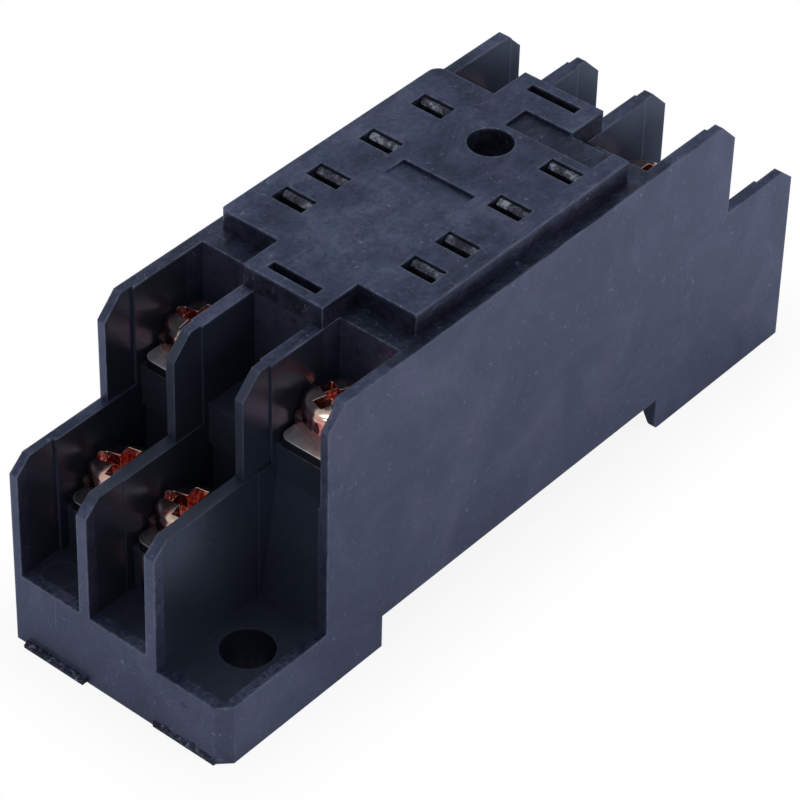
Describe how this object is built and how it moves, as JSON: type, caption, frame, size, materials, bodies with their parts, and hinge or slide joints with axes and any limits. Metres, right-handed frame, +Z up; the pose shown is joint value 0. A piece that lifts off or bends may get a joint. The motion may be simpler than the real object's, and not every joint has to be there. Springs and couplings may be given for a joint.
{
  "type": "relay socket",
  "caption": "Black moulded screw-terminal socket for a plug-in relay, with stepped terminal tiers, a deck of blade slots, a rail notch with a sprung clip and diagonal panel holes.",
  "frame": {"origin": "on the underside plane, midway along the rail notch and across the width; the two panel holes are centred on it", "axes": "+X along the length towards the far end, +Z up out of the deck, +Y across so that the near end at -X has its panel-screw bay at -Y"},
  "size_m": [0.0719, 0.0222, 0.0301],
  "materials": {
    "housing_moulding": "black phenolic moulding, semi-gloss with faint flow marks",
    "cover_board": "matt black moulded cover",
    "slide_moulding": "matt black moulded slide",
    "rivet_brass": "nickel-plated",
    "spring_steel": "bright spring strip",
    "terminal_plate": "nickel-plated, bright on the sheared edges",
    "contact_metal": "nickel-plated spring bronze",
    "washer_steel": "yellow-zinc plated with a reddish cast",
    "screw_steel": "bright yellow-zinc plated"
  },
  "bodies": {
    "socket": {"housing": "housing_moulding", "base_cover": "cover_board", "base_rivet": "rivet_brass", "clip_spring": "spring_steel", "terminal_near_lower_left": "terminal_plate", "contact_near_lower_left": "contact_metal", "terminal_near_lower_middle": "terminal_plate", "contact_near_lower_middle": "contact_metal", "terminal_near_upper_left": "terminal_plate", "contact_near_upper_left": "contact_metal", "terminal_near_upper_right": "terminal_plate", "contact_near_upper_right": "contact_metal", "terminal_far_lower_right": "terminal_plate", "contact_far_lower_right": "contact_metal", "terminal_far_lower_middle": "terminal_plate", "contact_far_lower_middle": "contact_metal", "terminal_far_upper_right": "terminal_plate", "contact_far_upper_right": "contact_metal", "terminal_far_upper_left": "terminal_plate", "contact_far_upper_left": "contact_metal"},
    "rail_slide": {"rail_clip": "slide_moulding"},
    "clamp_near_lower_left": {"washer_near_lower_left": "washer_steel"},
    "screw_near_lower_left_turning": {"screw_near_lower_left": "screw_steel"},
    "clamp_near_lower_middle": {"washer_near_lower_middle": "washer_steel"},
    "screw_near_lower_middle_turning": {"screw_near_lower_middle": "screw_steel"},
    "clamp_near_upper_left": {"washer_near_upper_left": "washer_steel"},
    "screw_near_upper_left_turning": {"screw_near_upper_left": "screw_steel"},
    "clamp_near_upper_right": {"washer_near_upper_right": "washer_steel"},
    "screw_near_upper_right_turning": {"screw_near_upper_right": "screw_steel"},
    "clamp_far_lower_right": {"washer_far_lower_right": "washer_steel"},
    "screw_far_lower_right_turning": {"screw_far_lower_right": "screw_steel"},
    "clamp_far_lower_middle": {"washer_far_lower_middle": "washer_steel"},
    "screw_far_lower_middle_turning": {"screw_far_lower_middle": "screw_steel"},
    "clamp_far_upper_right": {"washer_far_upper_right": "washer_steel"},
    "screw_far_upper_right_turning": {"screw_far_upper_right": "screw_steel"},
    "clamp_far_upper_left": {"washer_far_upper_left": "washer_steel"},
    "screw_far_upper_left_turning": {"screw_far_upper_left": "screw_steel"}
  },
  "joints": [
    {"name": "rail_clip_slide", "type": "slide", "parent": "socket", "child": "rail_slide", "axis": [1, 0, 0], "range_m": [0, 0.0019], "stiffness_N_per_m": 1500, "springref_m": -0.001, "deforming": ["clip_spring"]},
    {"name": "lift_near_lower_left", "type": "slide", "parent": "socket", "child": "clamp_near_lower_left", "axis": [0, 0, 1], "range_m": [0, 0.002]},
    {"name": "turn_near_lower_left", "type": "hinge", "parent": "clamp_near_lower_left", "child": "screw_near_lower_left_turning", "pos_m": [-0.0277, 0.00709, 0], "axis": [0, 0, 1], "range_deg": [0, 1440]},
    {"name": "lift_near_lower_middle", "type": "slide", "parent": "socket", "child": "clamp_near_lower_middle", "axis": [0, 0, 1], "range_m": [0, 0.002]},
    {"name": "turn_near_lower_middle", "type": "hinge", "parent": "clamp_near_lower_middle", "child": "screw_near_lower_middle_turning", "pos_m": [-0.0277, 0, 0], "axis": [0, 0, 1], "range_deg": [0, 1440]},
    {"name": "lift_near_upper_left", "type": "slide", "parent": "socket", "child": "clamp_near_upper_left", "axis": [0, 0, 1], "range_m": [0, 0.002]},
    {"name": "turn_near_upper_left", "type": "hinge", "parent": "clamp_near_upper_left", "child": "screw_near_upper_left_turning", "pos_m": [-0.0188, 0.00709, 0], "axis": [0, 0, 1], "range_deg": [0, 1440]},
    {"name": "lift_near_upper_right", "type": "slide", "parent": "socket", "child": "clamp_near_upper_right", "axis": [0, 0, 1], "range_m": [0, 0.002]},
    {"name": "turn_near_upper_right", "type": "hinge", "parent": "clamp_near_upper_right", "child": "screw_near_upper_right_turning", "pos_m": [-0.0188, -0.00709, 0], "axis": [0, 0, 1], "range_deg": [0, 1440]},
    {"name": "lift_far_lower_right", "type": "slide", "parent": "socket", "child": "clamp_far_lower_right", "axis": [0, 0, 1], "range_m": [0, 0.002]},
    {"name": "turn_far_lower_right", "type": "hinge", "parent": "clamp_far_lower_right", "child": "screw_far_lower_right_turning", "pos_m": [0.0277, -0.00709, 0], "axis": [0, 0, 1], "range_deg": [0, 1440]},
    {"name": "lift_far_lower_middle", "type": "slide", "parent": "socket", "child": "clamp_far_lower_middle", "axis": [0, 0, 1], "range_m": [0, 0.002]},
    {"name": "turn_far_lower_middle", "type": "hinge", "parent": "clamp_far_lower_middle", "child": "screw_far_lower_middle_turning", "pos_m": [0.0277, 0, 0], "axis": [0, 0, 1], "range_deg": [0, 1440]},
    {"name": "lift_far_upper_right", "type": "slide", "parent": "socket", "child": "clamp_far_upper_right", "axis": [0, 0, 1], "range_m": [0, 0.002]},
    {"name": "turn_far_upper_right", "type": "hinge", "parent": "clamp_far_upper_right", "child": "screw_far_upper_right_turning", "pos_m": [0.0188, -0.00709, 0], "axis": [0, 0, 1], "range_deg": [0, 1440]},
    {"name": "lift_far_upper_left", "type": "slide", "parent": "socket", "child": "clamp_far_upper_left", "axis": [0, 0, 1], "range_m": [0, 0.002]},
    {"name": "turn_far_upper_left", "type": "hinge", "parent": "clamp_far_upper_left", "child": "screw_far_upper_left_turning", "pos_m": [0.0188, 0.00709, 0], "axis": [0, 0, 1], "range_deg": [0, 1440]}
  ],
  "couplings": [
    {"joint": "turn_near_lower_left", "follows": "lift_near_lower_left", "rad_per_m": 12566},
    {"joint": "turn_near_lower_middle", "follows": "lift_near_lower_middle", "rad_per_m": 12566},
    {"joint": "turn_near_upper_left", "follows": "lift_near_upper_left", "rad_per_m": 12566},
    {"joint": "turn_near_upper_right", "follows": "lift_near_upper_right", "rad_per_m": 12566},
    {"joint": "turn_far_lower_right", "follows": "lift_far_lower_right", "rad_per_m": 12566},
    {"joint": "turn_far_lower_middle", "follows": "lift_far_lower_middle", "rad_per_m": 12566},
    {"joint": "turn_far_upper_right", "follows": "lift_far_upper_right", "rad_per_m": 12566},
    {"joint": "turn_far_upper_left", "follows": "lift_far_upper_left", "rad_per_m": 12566}
  ]
}
